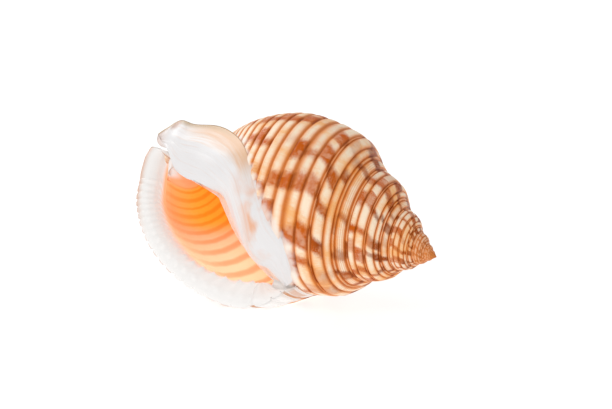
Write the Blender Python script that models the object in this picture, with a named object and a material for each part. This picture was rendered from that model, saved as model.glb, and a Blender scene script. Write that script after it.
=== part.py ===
"""A bonnet shell: one coiled shell that grew in a single piece, lying on its lip and last whorl.

Lengths are in millimetres until a mesh is made. A place on the shell is (turn, A, R): A runs
down the coiling axis from the tip of the spire, R is the distance from that axis, and turn
counts whole turns of growth, so that 0, 1 and 2 are straight below the axis and 0.25 is in
front of it. A profile is a line of (A, R) points at one turn. A place along it is its mark:
0 at the upper seam, 1 at the next seam and 3 at the foot of the base.
"""
import bpy
import bmesh
import numpy as np
from math import radians
from mathutils import Matrix, Vector

MM = 0.001

# The coil: the seam lies SEAM_REACH * GROWTH ** turn down the axis, and growth slows with age
SEAM_REACH = 14.86
GROWTH = 1.899
SLOWING = 0.0099
SEAM_CONE = 0.719
SEAM_NARROWING = 0.0438
SEAM_START = 0.16
TIP_REACH = 0.3
WALL_BOW = (0.102, -0.014, -0.011)
LIP_TURN = 1.05
TIP_TURN = -3.45

# The base of the last whorl, its neck, and the ridge that the growing canal leaves round it
NECK_REACH = 61.2
NECK_GROWTH = 0.257
NECK_RADIUS = 4.0
BASE_FULLNESS = 0.57
MOUTH_HOLLOWING = 0.40
BASE_ANGLES = (16, 30, 43, 54, 64, 73)
NAVEL_REACH = 64.0
FOOT_MARK = 2.66
RIDGE = ((0.6, 4.4), (3.2, 4.1), (5.8, 3.7), (6.6, 2.2))
BLUNT_FOOT = ((0.0, 4.9), (0.15, 3.2), (0.35, 1.2), (0.2, 0.3))

# The lip: the last third of a turn swells, then the edge turns out as a thick rolled collar
LIP_SWELL = 1.55
COLLAR = 4.3
COLLAR_TURNS = 0.125
COLLAR_CURVE = 2.2
LIP_TIP_OUT = 1.5
LIP_TIP_RISE = 0.9
LIP_FOOT_MARK = 2.7
LIP_ROLL = ((4.0, 0.7), (2.9, 1.2), (1.5, 1.15), (0.2, 0.6), (-0.9, -0.5))

# The hollow: a tube that follows the coil from the mouth up into the spire
HOLLOW_START = 1.03
HOLLOW_END = -2.4
WALL_IN_SPIRE = 1.3
WALL_AT_LIP = 1.8
LINING = 0.3
PILLAR_RADIUS = 2.5
HOLLOW_END_MARK = 2.5

# The surface: flat cords with narrow grooves between them
CORDS_ON_WALL = 5
CORDS_ON_BASE = 9
CORDS_END = 2.33
GROOVE_DEPTH = 0.32
GROOVE_HALF_WIDTH = 0.16

# The shield: enamel from the mouth's upper corner to the canal, a free plate past half way.
# Each station is (A, R, degrees round the axis from below), on the mouth side and the free side
SHIELD_MOUTH_EDGE = (
    (31.4, 18.2, 12), (32.2, 18.6, 22), (34.4, 18.7, 31), (38.0, 17.4, 26), (41.6, 15.6, 26),
    (44.4, 14.9, 52), (49.1, 13.6, 70), (53.7, 11.6, 73), (58.3, 10.4, 74), (62.3, 8.6, 70),
    (66.7, 6.4, 74), (70.4, 4.6, 104), (74.0, 3.7, 144), (76.4, 4.0, 172),
)
SHIELD_FREE_EDGE = (
    (27.6, 18.5, 27), (27.0, 18.5, 41), (28.2, 18.9, 58), (29.9, 19.2, 65), (33.4, 19.5, 75),
    (37.4, 19.6, 89), (42.9, 18.9, 106), (47.4, 17.2, 119), (53.5, 14.6, 135), (61.3, 11.8, 154),
    (67.3, 9.8, 162), (71.8, 9.2, 170), (75.0, 6.3, 174), (76.6, 4.4, 173),
)
SHIELD_THICKNESS = 1.5
SHIELD_SINK = 0.25
SHIELD_RISE = 1.0
SHIELD_LEAVES = (5.6, 7.4)

# The canal: a bent bore from the foot of the mouth to the back, behind the lip's tip
CANAL_PATH = ((-63.5, -3.2, -4.5), (-67.3, -2.8, -2.4), (-70.2, -2.2, -0.4), (-72.2, 0.4, 0.5),
              (-74.2, 4.4, 1.2), (-76.2, 8.4, 2.0))
CANAL_RADIUS = 1.4

# How it lies: the axis turns away to the left, slopes up to the left, and the whole rolls back
AXIS_TURN = 26.0
AXIS_SLOPE = 20.4
ROLL_BACK = 15.0
WORN_FLAT = 0.62

# Mesh sizes: steps are for one turn of the coil
STEPS = 24
HOLLOW_STEPS = 16
HOLLOW_OUTER_POINTS = 11
HOLLOW_INNER_POINTS = 7
SHIELD_LENGTH_POINTS = 22
SHIELD_WIDTH_POINTS = 10


def ease(x):
    """From 0 to 1 with level ends."""
    x = np.clip(x, 0, 1)
    return x * x * (3 - 2 * x)


def seam(turn):
    reach = SEAM_REACH * GROWTH ** turn * np.exp(-SLOWING * np.maximum(turn + 1, 0) ** 3)
    return reach + SEAM_START, reach * (SEAM_CONE - SEAM_NARROWING * np.maximum(turn, 0) ** 2)


def whorl_wall(turn, mark):
    """The line from one seam to the next, bowed out by a sum of sines."""
    a0, r0 = seam(turn)
    a1, r1 = seam(turn + 1)
    bow = sum(size * np.sin((k + 1) * np.pi * mark) for k, size in enumerate(WALL_BOW))
    return a0 + (a1 - a0) * mark - (r1 - r0) * bow, r0 + (r1 - r0) * mark + (a1 - a0) * bow


def base_points(turn):
    """A full quarter ellipse from the seam in to the neck, then the canal's ridge and the navel."""
    a1, r1 = seam(turn + 1)
    a0, r0 = whorl_wall(turn, 0.98)
    slope = (r1 - r0) / (a1 - a0)
    before = np.minimum(turn - (LIP_TURN - 1), 0)
    small = np.exp(0.4 * before)
    neck = NECK_REACH * np.exp(NECK_GROWTH * (turn - 0.5) + 0.25 * before)
    neck_radius = NECK_RADIUS * small
    fullness = BASE_FULLNESS + MOUTH_HOLLOWING * ease((0.35 - turn) / 0.3)
    blunt = ease((turn - 0.6) / 0.38)
    points = [(a1, r1)]
    for angle in BASE_ANGLES:
        x = np.sin(radians(angle))
        arch = (r1 - neck_radius) * (1 - x * x) ** fullness
        points.append((a1 + (neck - a1) * x, neck_radius + arch + slope * (neck - a1) * x * (1 - x) ** 2))
    for (sharp_a, sharp_r), (blunt_a, blunt_r) in zip(RIDGE, BLUNT_FOOT):
        points.append((neck + small * (sharp_a + (blunt_a - sharp_a) * blunt),
                       small * (sharp_r + (blunt_r - sharp_r) * blunt)))
    navel = np.where(before > -0.01, NAVEL_REACH, neck + 3 * small)
    points.append(((neck + navel) / 2 + 2 * (1 - blunt), 0.9 - 0.6 * blunt))
    points.append((navel, 0 * neck))
    return points


def spline(points, before, pieces):
    """A smooth line through the points, each span cut into the same number of pieces."""
    knots = [np.stack(np.broadcast_arrays(*p), -1) for p in [before] + points + [points[-1]]]
    line = []
    for p0, p1, p2, p3 in zip(knots, knots[1:], knots[2:], knots[3:]):
        span = np.linalg.norm(p2 - p1, axis=-1, keepdims=True)
        pulls = []
        for pull in ((p2 - p0) / 2, (p3 - p1) / 2):
            length = np.linalg.norm(pull, axis=-1, keepdims=True) + 1e-9
            pulls.append(pull * np.minimum(1, 1.2 * span / length))
        for x in np.arange(1, pieces + 1) / pieces:
            line.append((2 * x**3 - 3 * x**2 + 1) * p1 + (x**3 - 2 * x**2 + x) * pulls[0]
                        + (3 * x**2 - 2 * x**3) * p2 + (x**3 - x**2) * pulls[1])
    return np.stack(line, -2)


def before_foot(marks):
    """1 on the whorl, easing to 0 where the profile turns back at its foot."""
    return ease((FOOT_MARK - marks) / 0.3)


def profile(turn):
    """Fine profiles at an array of turns, their outward normals, and the mark of each point."""
    turn = np.asarray(turn, float)
    wall_marks = np.linspace(0, 1, 25)
    wall = np.stack(whorl_wall(turn[..., None], wall_marks), -1)
    base = spline(base_points(turn), whorl_wall(turn, 0.75), 6)
    line = np.concatenate([wall, base], -2)
    marks = np.r_[wall_marks, 1 + 2 * np.arange(1, base.shape[-2] + 1) / base.shape[-2]]
    near_lip = ease((turn[..., None] - 0.85) / 0.2)
    spread = ease((marks - 2.1) / 0.4) * ease((2.92 - marks) / 0.25)
    line[..., 0] += LIP_TIP_OUT * spread * near_lip
    line[..., 1] -= LIP_TIP_RISE * ease((marks - 2.2) / 0.25) * ease((2.78 - marks) / 0.22) * near_lip
    along = np.gradient(line, axis=-2)
    along /= np.linalg.norm(along, axis=-1, keepdims=True) + 1e-12
    normal = np.stack([-along[..., 1], along[..., 0]], -1)
    swell = ease((marks - 0.35) / 0.75) * before_foot(marks) * ease((turn[..., None] - 0.72) / 0.33)
    return line + normal * LIP_SWELL * swell[..., None], normal, marks


def sample(rows, marks, wanted):
    """Values of each row at the wanted marks, between its fine points."""
    left = np.clip(np.searchsorted(marks, wanted) - 1, 0, len(marks) - 2)
    share = ((wanted - marks[left]) / (marks[left + 1] - marks[left]))[:, None]
    return rows[..., left, :] * (1 - share) + rows[..., left + 1, :] * share


def run(line):
    """How far along the line each point is, from 0 to 1."""
    length = np.r_[0, np.cumsum(np.linalg.norm(np.diff(line, axis=0), axis=1))]
    return length / length[-1]


def read(line, at):
    """Points of the line at shares of its length."""
    return np.stack([np.interp(at, run(line), c) for c in line.T], -1)


def place(line, turn):
    """(A, R) points at a turn as x to the tip of the spire, y to the back, z up."""
    angle = 2 * np.pi * np.asarray(turn)
    return np.stack([-line[..., 0], -line[..., 1] * np.sin(angle), -line[..., 1] * np.cos(angle)], -1)


def cord_marks():
    """Marks of the grooves and of the cord edges beside them, and how deep each lies."""
    wall = np.arange(CORDS_ON_WALL + 1) / CORDS_ON_WALL
    base = 1 + (CORDS_END - 1) * np.arange(1, CORDS_ON_BASE + 1) / CORDS_ON_BASE
    grooves = np.r_[wall, base]
    marks, depth = [0.0], [0.0]
    for start, end in zip(grooves, grooves[1:]):
        edge = GROOVE_HALF_WIDTH * (end - start)
        marks += [start + edge, end - edge, end]
        depth += [0.0, 0.0, 1.0]
    depth[3 * CORDS_ON_WALL] = 0.0
    foot = np.linspace(CORDS_END, 3, 9)[1:]
    return np.r_[marks, foot], np.r_[depth, 0 * foot]


def add_points(bm, points):
    return [bm.verts.new(p) for p in np.asarray(points) * MM]


def add_face(bm, corners):
    corners = list(dict.fromkeys(corners))
    bm.faces.new(corners)


def add_ring(bm, ring, points):
    """A band of faces from a closed ring to a new ring with the same number of points."""
    new = add_points(bm, points)
    for a, b, c, d in zip(ring, ring[1:] + ring[:1], new[1:] + new[:1], new):
        add_face(bm, (a, b, c, d))
    return new


def join_rings(bm, first, second):
    """Triangles between two closed rings of different counts, each step to the nearer next point."""
    ends = []
    for ring in (first, second):
        points = np.array([v.co for v in ring + ring[:1]])
        ends.append(run(points))
    i = j = 0
    while i < len(first) or j < len(second):
        a, b = first[i % len(first)], second[j % len(second)]
        if j == len(second) or (i < len(first) and ends[0][i + 1] <= ends[1][j + 1]):
            i += 1
            bm.faces.new((a, first[i % len(first)], b))
        else:
            j += 1
            bm.faces.new((a, second[j % len(second)], b))


def add_outside(bm):
    """The coiled outside as one sheet that shares its points at every seam, open at the mouth.

    Returns the lip's vertices from seam to foot, the navel, and the last whorl's own vertices
    inside the mouth from foot to seam."""
    marks, groove = cord_marks()
    at_seam = 3 * CORDS_ON_WALL
    last = len(marks) - 1
    rows = int(round((LIP_TURN - TIP_TURN) * STEPS))
    mouth_row = rows - STEPS
    turns = LIP_TURN - (rows - np.arange(rows + 1)) / STEPS
    fine, fine_normal, fine_marks = profile(turns)
    line, normal = sample(fine, fine_marks, marks), sample(fine_normal, fine_marks, marks)
    collar = COLLAR * np.clip((turns - LIP_TURN + COLLAR_TURNS) / COLLAR_TURNS, 0, 1) ** COLLAR_CURVE
    depth = GROOVE_DEPTH * np.minimum(1, seam(turns)[1] / 8)
    height = collar[:, None] * lip_share(marks) - depth[:, None] * groove
    spots = place(line + normal * height[..., None], turns[:, None]) * MM
    navel = bm.verts.new((-NAVEL_REACH * MM, 0, 0))
    grid = [[None] * (last + 1) for _ in range(rows + 1)]
    for j in range(rows, -1, -1):
        for i in range((last if j >= mouth_row else at_seam) + 1):
            if i == last:
                grid[j][i] = navel
            elif i == at_seam and j + STEPS <= rows:
                grid[j][i] = grid[j + STEPS][0]
            else:
                grid[j][i] = bm.verts.new(spots[j, i])
    for j in range(rows):
        for i in range(last if j >= mouth_row else at_seam):
            add_face(bm, (grid[j][i], grid[j][i + 1], grid[j + 1][i + 1], grid[j + 1][i]))
    tip = bm.verts.new((-TIP_REACH * MM, 0, 0))
    for j in range(STEPS):
        bm.faces.new((tip, grid[j][0], grid[j + 1][0]))
    bm.faces.new([tip] + grid[0][at_seam::-1])
    return grid[rows][:last], navel, grid[mouth_row][last - 1:at_seam:-1]


def lip_share(marks):
    """How fully the collar and its roll stand out: nothing at the seam and at the foot."""
    return ease(marks / 0.85) * ease((LIP_FOOT_MARK - marks) / 0.3)


def hollow_section(turn):
    """The hollow's outer and inner line at one turn, in (A, R).

    It keeps a wall's thickness from the outside, and lies with a thin lining on the whorl
    before it and on the pillar."""
    fine, _, marks = profile(np.array([turn, turn - 1]))
    small = min(1.0, float(seam(turn)[1]) / 10)
    outer = fine[0][marks <= HOLLOW_END_MARK]
    inner = fine[1][(marks >= 1) & (marks <= 2.25)]
    pillar = PILLAR_RADIUS * small
    foot = outer[-1, 0] - 5 * small
    if foot > inner[-1, 0]:
        inner = np.vstack([inner, [[foot, pillar]]])
    inner[:, 1] = np.maximum(inner[:, 1], pillar)
    at = np.linspace(0, 1, 201)
    outer, inner = read(outer, at), read(inner, at)
    gap = np.linalg.norm(inner - outer, axis=1)
    wall = WALL_IN_SPIRE + (WALL_AT_LIP - WALL_IN_SPIRE) * np.clip((turn - 0.7) / 0.3, 0, 1)
    wall *= max(small, 0.45)
    roomy = at[gap > 2.6 * wall]
    lines = []
    for count, near, far, away in (
            (HOLLOW_OUTER_POINTS, outer, inner, wall), (HOLLOW_INNER_POINTS, inner, outer, LINING * small)):
        steps = np.linspace(roomy[0], roomy[-1], count)
        start = np.stack([np.interp(steps, at, c) for c in near.T], -1)
        toward = np.stack([np.interp(steps, at, c) for c in far.T], -1) - start
        lines.append(start + toward / np.linalg.norm(toward, axis=1, keepdims=True) * away)
    return lines[0], lines[1][::-1]


def add_lip_and_hollow(bm, lip, navel, inside):
    """Roll the lip in from its edge to the mouth, then run the hollow back up the coil."""
    marks = cord_marks()[0][:-1]
    fine, fine_normal, fine_marks = profile(LIP_TURN)
    line, normal = sample(fine, fine_marks, marks), sample(fine_normal, fine_marks, marks)
    outer, inner = (place(side, HOLLOW_START) for side in hollow_section(HOLLOW_START))
    body = np.array([v.co for v in inside]) / MM
    outer_here = read(outer, run(line))
    inner_here = read(inner, run(body) * 0.98)
    angle = 2 * np.pi * LIP_TURN
    forward = np.array([0, -np.cos(angle), np.sin(angle)])
    stands = lip_share(marks)[:, None]
    ring = lip + [navel] + inside
    for k, (out, ahead) in enumerate(LIP_ROLL):
        inward = (k + 1) / (len(LIP_ROLL) + 0.5)
        rolled = place(line + normal * out * stands, LIP_TURN) + forward * ahead * stands
        rolled += (outer_here - rolled) * (1 - stands) * inward
        foot = np.array([-NAVEL_REACH, 0, 0]) * (1 - inward) + outer[-1] * inward
        wall = body + (inner_here - body) * inward
        ring = add_ring(bm, ring, np.vstack([rolled, [foot], wall]))
    mouth = add_points(bm, np.vstack([outer, inner]))
    join_rings(bm, ring, mouth)
    ring = mouth
    for turn in np.arange(HOLLOW_START - 1 / HOLLOW_STEPS, HOLLOW_END, -1 / HOLLOW_STEPS):
        ring = add_ring(bm, ring, np.vstack([place(side, turn) for side in hollow_section(turn)]))
    middle = bm.verts.new(sum((v.co for v in ring), Vector()) / len(ring))
    for a, b in zip(ring, ring[1:] + ring[:1]):
        bm.faces.new((a, b, middle))


def through(stations, at):
    """A smooth line through the stations, read at shares of their count."""
    knots = np.vstack([2 * stations[0] - stations[1], stations, 2 * stations[-1] - stations[-2]])
    x = at * (len(stations) - 1)
    i = np.clip(x.astype(int), 0, len(stations) - 2)
    u = (x - i)[:, None]
    p0, p1, p2, p3 = (knots[i + k] for k in range(4))
    bend = (2 * p0 - 5 * p1 + 4 * p2 - p3) * u**2 + (3 * p1 - p0 - 3 * p2 + p3) * u**3
    return p1 + ((p2 - p0) * u + bend) / 2


def add_shield(bm):
    """A curved plate with thin round edges between the two station lines.

    It lies on the last whorl near the mouth's upper corner, and stands free further down."""
    along = np.linspace(0, 1, SHIELD_LENGTH_POINTS)
    across = np.linspace(0, 1, SHIELD_WIDTH_POINTS)
    mouth_edge, free_edge = (through(np.array(edge, float) * (1, 1, 1 / 360), along)
                             for edge in (SHIELD_MOUTH_EDGE, SHIELD_FREE_EDGE))
    sheet = mouth_edge[:, None] + (free_edge - mouth_edge)[:, None] * across[None, :, None]
    reach, radius, turn = np.moveaxis(sheet, -1, 0)
    fine, _, marks = profile(turn)
    on_body = marks <= 2.45
    body = np.array([[np.interp(reach[i, j], *fine[i, j, on_body].T) for j in range(len(across))]
                     for i in range(len(along))])
    station = along[:, None] * (len(SHIELD_FREE_EDGE) - 1)
    free = ease((station - SHIELD_LEAVES[0]) / (SHIELD_LEAVES[1] - SHIELD_LEAVES[0]))
    lying = body - SHIELD_SINK + SHIELD_RISE * np.sqrt(np.sin(np.pi * across))
    dished = radius - 4 * across * (1 - across) * ease((station - 7) / 2)
    top = lying * (1 - free) + np.maximum(dished, body - 3) * free
    width_share = np.sqrt(1 - np.abs(2 * across - 1) ** 6)
    end_share = np.sqrt(1 - np.clip((along - 0.93) / 0.07, 0, 1) ** 2) * np.sqrt(np.clip(along / 0.03, 0, 1))
    share = end_share[:, None] * width_share
    upper = place(np.stack([reach, top], -1), turn)
    lower = place(np.stack([reach - 0.3 * share * free, top - SHIELD_THICKNESS * share], -1), turn)
    rim = {}
    sides = []
    for spots in (upper, lower):
        grid = []
        for i, row in enumerate(spots):
            grid.append([])
            for j, spot in enumerate(row):
                on_rim = i in (0, len(along) - 1) or j in (0, len(across) - 1)
                if not on_rim or (i, j) not in rim:
                    rim[i, j] = bm.verts.new(spot * MM)
                grid[i].append(rim[i, j])
        sides.append(grid)
    for grid in sides:
        for i in range(len(along) - 1):
            for j in range(len(across) - 1):
                a, b = grid[i][j], grid[i + 1][j]
                c, d = grid[i + 1][j + 1], grid[i][j + 1]
                slanted = (i < len(along) / 2 - 1) == (j < len(across) / 2 - 1)
                for corners in ((a, b, c), (a, c, d)) if slanted else ((a, b, d), (b, c, d)):
                    bm.faces.new(corners)


def lay_down():
    """The rotation from the coil's own directions to how the shell lies."""
    turned = Matrix.Rotation(radians(-AXIS_TURN), 4, "Z")
    sloped = Matrix.Rotation(radians(AXIS_SLOPE), 4, "Y")
    return Matrix.Rotation(radians(-ROLL_BACK), 4, "X") @ sloped @ turned


def make_object(name, bm):
    bmesh.ops.recalc_face_normals(bm, faces=bm.faces)
    bm.transform(lay_down())
    mesh = bpy.data.meshes.new(name)
    bm.to_mesh(mesh)
    bm.free()
    thing = bpy.data.objects.new(name, mesh)
    bpy.context.scene.collection.objects.link(thing)
    return thing


def make_coil():
    bm = bmesh.new()
    lip, navel, inside = add_outside(bm)
    add_lip_and_hollow(bm, lip, navel, inside)
    bmesh.ops.triangulate(bm, faces=bm.faces)
    return make_object("coil", bm)


def make_shield():
    bm = bmesh.new()
    add_shield(bm)
    return make_object("shield", bm)


def make_canal():
    """A bent round bore, as a bevelled curve turned into a mesh."""
    curve = bpy.data.curves.new("canal", "CURVE")
    curve.dimensions = "3D"
    curve.bevel_depth = CANAL_RADIUS * MM
    curve.bevel_resolution = 4
    curve.use_fill_caps = True
    spline_data = curve.splines.new("POLY")
    path = through(np.array(CANAL_PATH), np.linspace(0, 1, 10))
    spline_data.points.add(len(path) - 1)
    for point, spot in zip(spline_data.points, path):
        point.co = (*(spot * MM), 1)
    guide = bpy.data.objects.new("canal guide", curve)
    bm = bmesh.new()
    bm.from_mesh(guide.to_mesh())
    guide.to_mesh_clear()
    bpy.data.objects.remove(guide)
    bmesh.ops.remove_doubles(bm, verts=bm.verts, dist=0.00001)
    return make_object("canal", bm)


def combine(thing, other, operation):
    """Change the thing by a Boolean with the other object, which is used up."""
    modifier = thing.modifiers.new(operation.title(), "BOOLEAN")
    modifier.operation = operation
    modifier.solver = "EXACT"
    modifier.object = other
    result = bpy.data.meshes.new_from_object(thing.evaluated_get(bpy.context.evaluated_depsgraph_get()))
    thing.modifiers.clear()
    thing.data = result
    bpy.data.objects.remove(other)


def wear_flat(thing):
    """Cut the lowest skin off level, and set the origin to the middle of the box's bottom."""
    bm = bmesh.new()
    bm.from_mesh(thing.data)
    level = min(v.co.z for v in bm.verts) + WORN_FLAT * MM
    everything = bm.verts[:] + bm.edges[:] + bm.faces[:]
    cut = bmesh.ops.bisect_plane(bm, geom=everything, dist=1e-7, plane_co=(0, 0, level),
                                 plane_no=(0, 0, -1), clear_outer=True)
    edges = [e for e in cut["geom_cut"] if isinstance(e, bmesh.types.BMEdge)]
    bmesh.ops.contextual_create(bm, geom=edges)
    bmesh.ops.triangulate(bm, faces=bm.faces)
    low = Vector(map(min, zip(*(v.co for v in bm.verts))))
    high = Vector(map(max, zip(*(v.co for v in bm.verts))))
    bmesh.ops.translate(bm, verts=bm.verts, vec=-Vector(((low.x + high.x) / 2, (low.y + high.y) / 2, low.z)))
    bm.to_mesh(thing.data)
    bm.free()


def shell_material():
    material = bpy.data.materials.new("shell")
    material.use_nodes = True
    surface = material.node_tree.nodes["Principled BSDF"]
    surface.inputs["Base Color"].default_value = (0.72, 0.50, 0.29, 1)
    surface.inputs["Roughness"].default_value = 0.38
    surface.inputs["Metallic"].default_value = 0.0
    return material


def build():
    for old in list(bpy.data.objects):
        bpy.data.objects.remove(old)
    shell = make_coil()
    shell.name = "shell"
    combine(shell, make_canal(), "DIFFERENCE")
    combine(shell, make_shield(), "UNION")
    wear_flat(shell)
    shell.data.materials.clear()
    shell.data.materials.append(shell_material())
    shell.data.shade_smooth()
    shell.data.set_sharp_from_angle(angle=radians(40))


build()
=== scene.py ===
"""A bonnet shell: one coiled sea shell, lying with its mouth to the front and its spire to the right.

Lengths are in millimetres until a mesh is made. A place on the shell is (turn, A, R): A runs down
the coiling axis from the tip of the spire, R is the distance from it, and turn counts whole turns
of growth. A profile is a line of (A, R) points at one turn, and a place along it is its mark: 0 at
the upper seam, 1 at the next seam and 3 at the foot of the base.
"""

import bmesh
import bpy
import numpy as np
from math import radians
from mathutils import Matrix


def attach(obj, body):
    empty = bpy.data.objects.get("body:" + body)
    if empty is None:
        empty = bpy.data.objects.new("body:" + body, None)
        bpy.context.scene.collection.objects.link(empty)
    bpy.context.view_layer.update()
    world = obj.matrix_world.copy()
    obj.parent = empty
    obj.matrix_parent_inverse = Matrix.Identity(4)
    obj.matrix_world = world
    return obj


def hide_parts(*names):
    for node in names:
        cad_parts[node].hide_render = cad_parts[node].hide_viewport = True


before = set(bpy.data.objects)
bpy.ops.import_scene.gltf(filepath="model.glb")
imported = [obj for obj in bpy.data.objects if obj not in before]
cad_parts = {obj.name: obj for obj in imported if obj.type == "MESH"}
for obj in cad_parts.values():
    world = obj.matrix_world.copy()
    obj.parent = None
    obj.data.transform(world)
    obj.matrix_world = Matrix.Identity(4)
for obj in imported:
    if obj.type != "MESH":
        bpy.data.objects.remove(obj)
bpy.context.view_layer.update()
for old in [o for o in bpy.data.objects if o.type in ("LIGHT", "CAMERA")]:
    bpy.data.objects.remove(old)

# Coil
# The spire and the last whorl, with the lip and the hollow behind it: one wall of lime that the
# animal laid down at the shell's edge, turn by turn, and covered with flat spiral cords.

MM = 0.001
SEAM_REACH, GROWTH, SLOWING = 14.86, 1.899, 0.0099
SEAM_CONE, SEAM_NARROWING, SEAM_START = 0.719, 0.0438, 0.16
WALL_BOW = (0.102, -0.014, -0.011)
LIP_TURN, TIP_TURN, TIP_REACH, STEPS = 1.05, -4.6, 0.3, 120
NECK_REACH, NECK_GROWTH, NECK_RADIUS = 61.2, 0.257, 4.0
BASE_FULLNESS, MOUTH_HOLLOWING = 0.57, 0.40
BASE_ANGLES = (16, 30, 43, 54, 64, 73)
NAVEL_REACH, FOOT_MARK = 64.0, 2.66
RIDGE = ((0.6, 4.4), (3.2, 4.1), (5.8, 3.7), (6.6, 2.2))
BLUNT_FOOT = ((0.0, 4.9), (0.15, 3.2), (0.35, 1.2), (0.2, 0.3))
LIP_SWELL, COLLAR, COLLAR_TURNS, COLLAR_CURVE = 1.55, 4.3, 0.125, 2.2
LIP_TIP_OUT, LIP_TIP_RISE, LIP_FOOT_MARK = 1.5, 2.4, 2.80


def ease(x):
    """3 x squared less 2 x cubed, from 0 to 1 with level ends."""
    x = np.clip(x, 0, 1)
    return x * x * (3 - 2 * x)


def seam(turn):
    """A = reach times growth to the power of turn, slowing with the cube of age; R in proportion."""
    reach = SEAM_REACH * GROWTH ** turn * np.exp(-SLOWING * np.maximum(turn + 1, 0) ** 3)
    return reach + SEAM_START, reach * (SEAM_CONE - SEAM_NARROWING * np.maximum(turn, 0) ** 2)


def whorl_wall(turn, mark):
    """The straight line from one seam to the next, bowed out by a sum of three sines."""
    a0, r0 = seam(turn)
    a1, r1 = seam(turn + 1)
    bow = sum(size * np.sin((k + 1) * np.pi * mark) for k, size in enumerate(WALL_BOW))
    return a0 + (a1 - a0) * mark - (r1 - r0) * bow, r0 + (r1 - r0) * mark + (a1 - a0) * bow


def base_points(turn):
    """Points of a full quarter ellipse from the seam in to the neck, then the ridge and the navel."""
    a1, r1 = seam(turn + 1)
    a0, r0 = whorl_wall(turn, 0.98)
    slope = (r1 - r0) / (a1 - a0)
    before = np.minimum(turn - (LIP_TURN - 1), 0)
    small = np.exp(0.4 * before)
    neck = NECK_REACH * np.exp(NECK_GROWTH * (turn - 0.5) + 0.25 * before)
    neck_radius = NECK_RADIUS * small
    fullness = BASE_FULLNESS + MOUTH_HOLLOWING * ease((0.35 - turn) / 0.3)
    blunt = ease((turn - 0.6) / 0.38)
    points = [(a1, r1)]
    for angle in BASE_ANGLES:
        x = np.sin(radians(angle))
        arch = (r1 - neck_radius) * (1 - x * x) ** fullness
        leaning = slope * (neck - a1) * x * (1 - x) ** 2
        points.append((a1 + (neck - a1) * x, neck_radius + arch + leaning))
    for (sharp_a, sharp_r), (blunt_a, blunt_r) in zip(RIDGE, BLUNT_FOOT):
        points.append((neck + small * (sharp_a + (blunt_a - sharp_a) * blunt),
                       small * (sharp_r + (blunt_r - sharp_r) * blunt)))
    navel = np.where(before > -0.01, NAVEL_REACH, neck + 3 * small)
    points.append(((neck + navel) / 2 + 2 * (1 - blunt), 0.9 - 0.6 * blunt))
    points.append((navel, 0 * neck))
    return points


def spline(points, before, pieces):
    """Cubic spans through the points, with pulls half way between the neighbours."""
    knots = [np.stack(np.broadcast_arrays(*p), -1) for p in [before] + points + [points[-1]]]
    line = []
    for p0, p1, p2, p3 in zip(knots, knots[1:], knots[2:], knots[3:]):
        span = np.linalg.norm(p2 - p1, axis=-1, keepdims=True)
        pulls = []
        for pull in ((p2 - p0) / 2, (p3 - p1) / 2):
            length = np.linalg.norm(pull, axis=-1, keepdims=True) + 1e-9
            pulls.append(pull * np.minimum(1, 1.2 * span / length))
        for x in np.arange(1, pieces + 1) / pieces:
            line.append((2 * x**3 - 3 * x**2 + 1) * p1 + (x**3 - 2 * x**2 + x) * pulls[0]
                        + (3 * x**2 - 2 * x**3) * p2 + (x**3 - x**2) * pulls[1])
    return np.stack(line, -2)


def before_foot(marks):
    """1 on the whorl, easing to 0 where the profile turns back at its foot."""
    return ease((FOOT_MARK - marks) / 0.3)


def profile(turn):
    """Wall and base at an array of turns with the last whorl's swelling, normals, and marks."""
    turn = np.asarray(turn, float)
    wall_marks = np.linspace(0, 1, 61)
    wall = np.stack(whorl_wall(turn[..., None], wall_marks), -1)
    base = spline(base_points(turn), whorl_wall(turn, 0.75), 14)
    line = np.concatenate([wall, base], -2)
    marks = np.r_[wall_marks, 1 + 2 * np.arange(1, base.shape[-2] + 1) / base.shape[-2]]
    near_lip = ease((turn[..., None] - 0.85) / 0.2)
    spread = ease((marks - 2.1) / 0.4)
    line[..., 0] += LIP_TIP_OUT * spread * ease((2.92 - marks) / 0.25) * near_lip
    line[..., 1] -= LIP_TIP_RISE * ease((marks - 2.2) / 0.25) * ease((2.78 - marks) / 0.22) * near_lip
    along = np.gradient(line, axis=-2)
    along /= np.linalg.norm(along, axis=-1, keepdims=True) + 1e-12
    normal = np.stack([-along[..., 1], along[..., 0]], -1)
    swell = ease((marks - 0.35) / 0.75) * before_foot(marks) * ease((turn[..., None] - 0.72) / 0.33)
    return line + normal * LIP_SWELL * swell[..., None], normal, marks


def sample(rows, marks, wanted):
    """Values of each row at the wanted marks, in proportion between its fine points."""
    left = np.clip(np.searchsorted(marks, wanted) - 1, 0, len(marks) - 2)
    share = ((wanted - marks[left]) / (marks[left + 1] - marks[left]))[:, None]
    return rows[..., left, :] * (1 - share) + rows[..., left + 1, :] * share


def place(line, turn):
    """x = -A, y = -R sin(turn), z = -R cos(turn)."""
    angle = 2 * np.pi * np.asarray(turn)
    return np.stack([-line[..., 0], -line[..., 1] * np.sin(angle), -line[..., 1] * np.cos(angle)], -1)


# The cords: marks of the grooves between them, two close pairs on the shoulder and even ones below
GROOVES = np.r_[0, 0.05, 0.21, 0.27, 0.40, 0.60, 0.645, 0.86, 1.03, 1.09, 1.155, 1.22,
                1.29 + 0.066 * np.arange(14)]
ACROSS_CORD = (0, 0.08, 0.16, 0.30, 0.50, 0.70, 0.84, 0.92)
GROOVE_DEPTH, GROOVE_WIDTH, CROWN = 0.34, 0.20, 0.16
WALL_LENGTH, BASE_LENGTH = 15.0, 36.0  # mm for one step of the mark


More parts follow.
